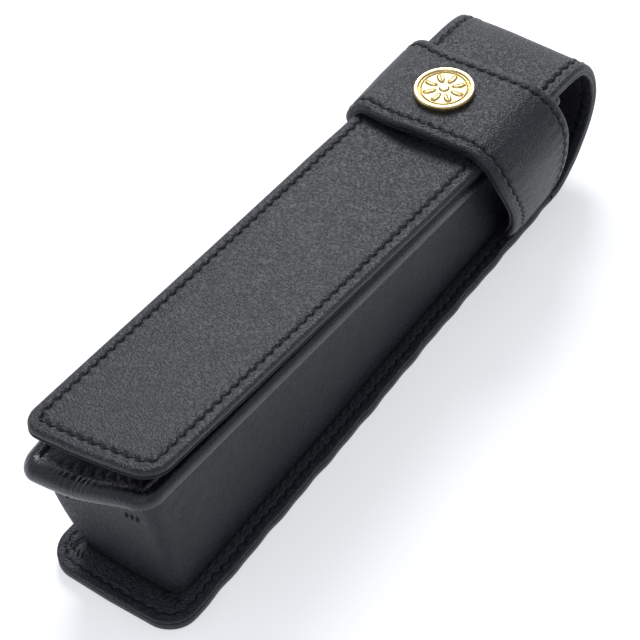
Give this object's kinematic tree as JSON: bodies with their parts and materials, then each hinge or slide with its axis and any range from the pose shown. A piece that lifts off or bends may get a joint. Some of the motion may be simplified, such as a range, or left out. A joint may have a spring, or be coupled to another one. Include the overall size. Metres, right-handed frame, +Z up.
{
  "type": "pen case",
  "caption": "Black leather case for one fountain pen, lying on its back: gusseted pouch, long flap folded over the mouth and tucked under a fixed keeper band with a gold button.",
  "frame": {"origin": "on the resting face of the back panel, on the centre plane, midway between the near lip and the outside of the fold", "axes": "+X from the closed near end towards the mouth and the fold, +Y across the case, +Z up, away from the back panel"},
  "size_m": [0.1716, 0.0512, 0.047],
  "materials": {
    "black_leather": "fine grain, satin",
    "lining_leather": "smooth, matt",
    "stiffener_board": "raw",
    "thread": "twisted polyester",
    "gold_plate": "polished",
    "rivet_brass": "plain"
  },
  "bodies": {
    "case": {"back_panel_leather": "black_leather", "back_panel_board": "stiffener_board", "back_panel_lining": "lining_leather", "gusset_leather": "black_leather", "gusset_lining": "lining_leather", "front_panel_leather": "black_leather", "front_panel_board": "stiffener_board", "front_panel_lining": "lining_leather", "front_edge_binding": "black_leather", "front_mouth_hem": "black_leather", "keeper_band_leather": "black_leather", "keeper_band_lining": "lining_leather", "button_cap": "gold_plate", "button_post": "rivet_brass", "button_washer": "rivet_brass", "flange_stitches": "thread", "front_panel_stitches": "thread", "band_stitches": "thread", "flange_bar_tacks": "thread", "front_bar_tacks": "thread", "mouth_bar_tacks": "thread"},
    "flap_rear": {"fold_leather": "black_leather", "fold_lining": "lining_leather", "flap_rear_leather": "black_leather", "flap_rear_lining": "lining_leather", "fold_stitches": "thread"},
    "flap_front": {"flap_front_leather": "black_leather", "flap_front_lining": "lining_leather", "flap_front_stitches": "thread"}
  },
  "joints": [
    {"name": "flap_slide", "type": "slide", "parent": "case", "child": "flap_rear", "axis": [0.9974, 0, -0.0717], "range_m": [0, 0.016]},
    {"name": "flap_lift", "type": "hinge", "parent": "flap_rear", "child": "flap_front", "pos_m": [0.0152, 0, 0.03708], "axis": [0, 1, 0], "range_deg": [0, 60]}
  ]
}
